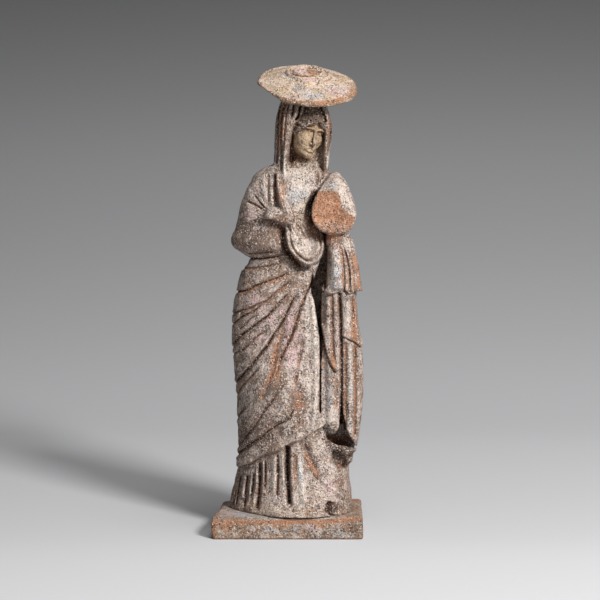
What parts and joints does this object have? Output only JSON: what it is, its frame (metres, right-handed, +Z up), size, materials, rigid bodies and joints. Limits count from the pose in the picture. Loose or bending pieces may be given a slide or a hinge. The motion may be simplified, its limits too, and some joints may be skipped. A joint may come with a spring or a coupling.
{
  "type": "terracotta statuette",
  "caption": "Terracotta statuette of a standing draped woman in a veil and a wide sun hat, one forearm broken off, on a thin clay slab.",
  "frame": {"origin": "centre of the bounding box in plan, on the underside of the slab", "axes": "+Z up, the figure faces -Y, the viewer's right is +X"},
  "size_m": [0.0965, 0.0659, 0.2993],
  "materials": {
    "figure_clay": "fired clay with worn white slip, dirt in the folds and bare orange edges",
    "hat_clay": "fired clay with a cream wash, specks of ochre and grey, orange at the worn rim",
    "plinth_clay": "coarse fired clay with worn orange arrises and a thin grey deposit"
  },
  "bodies": {
    "root": {"figure": "figure_clay", "hat": "hat_clay", "plinth": "plinth_clay"}
  },
  "joints": []
}
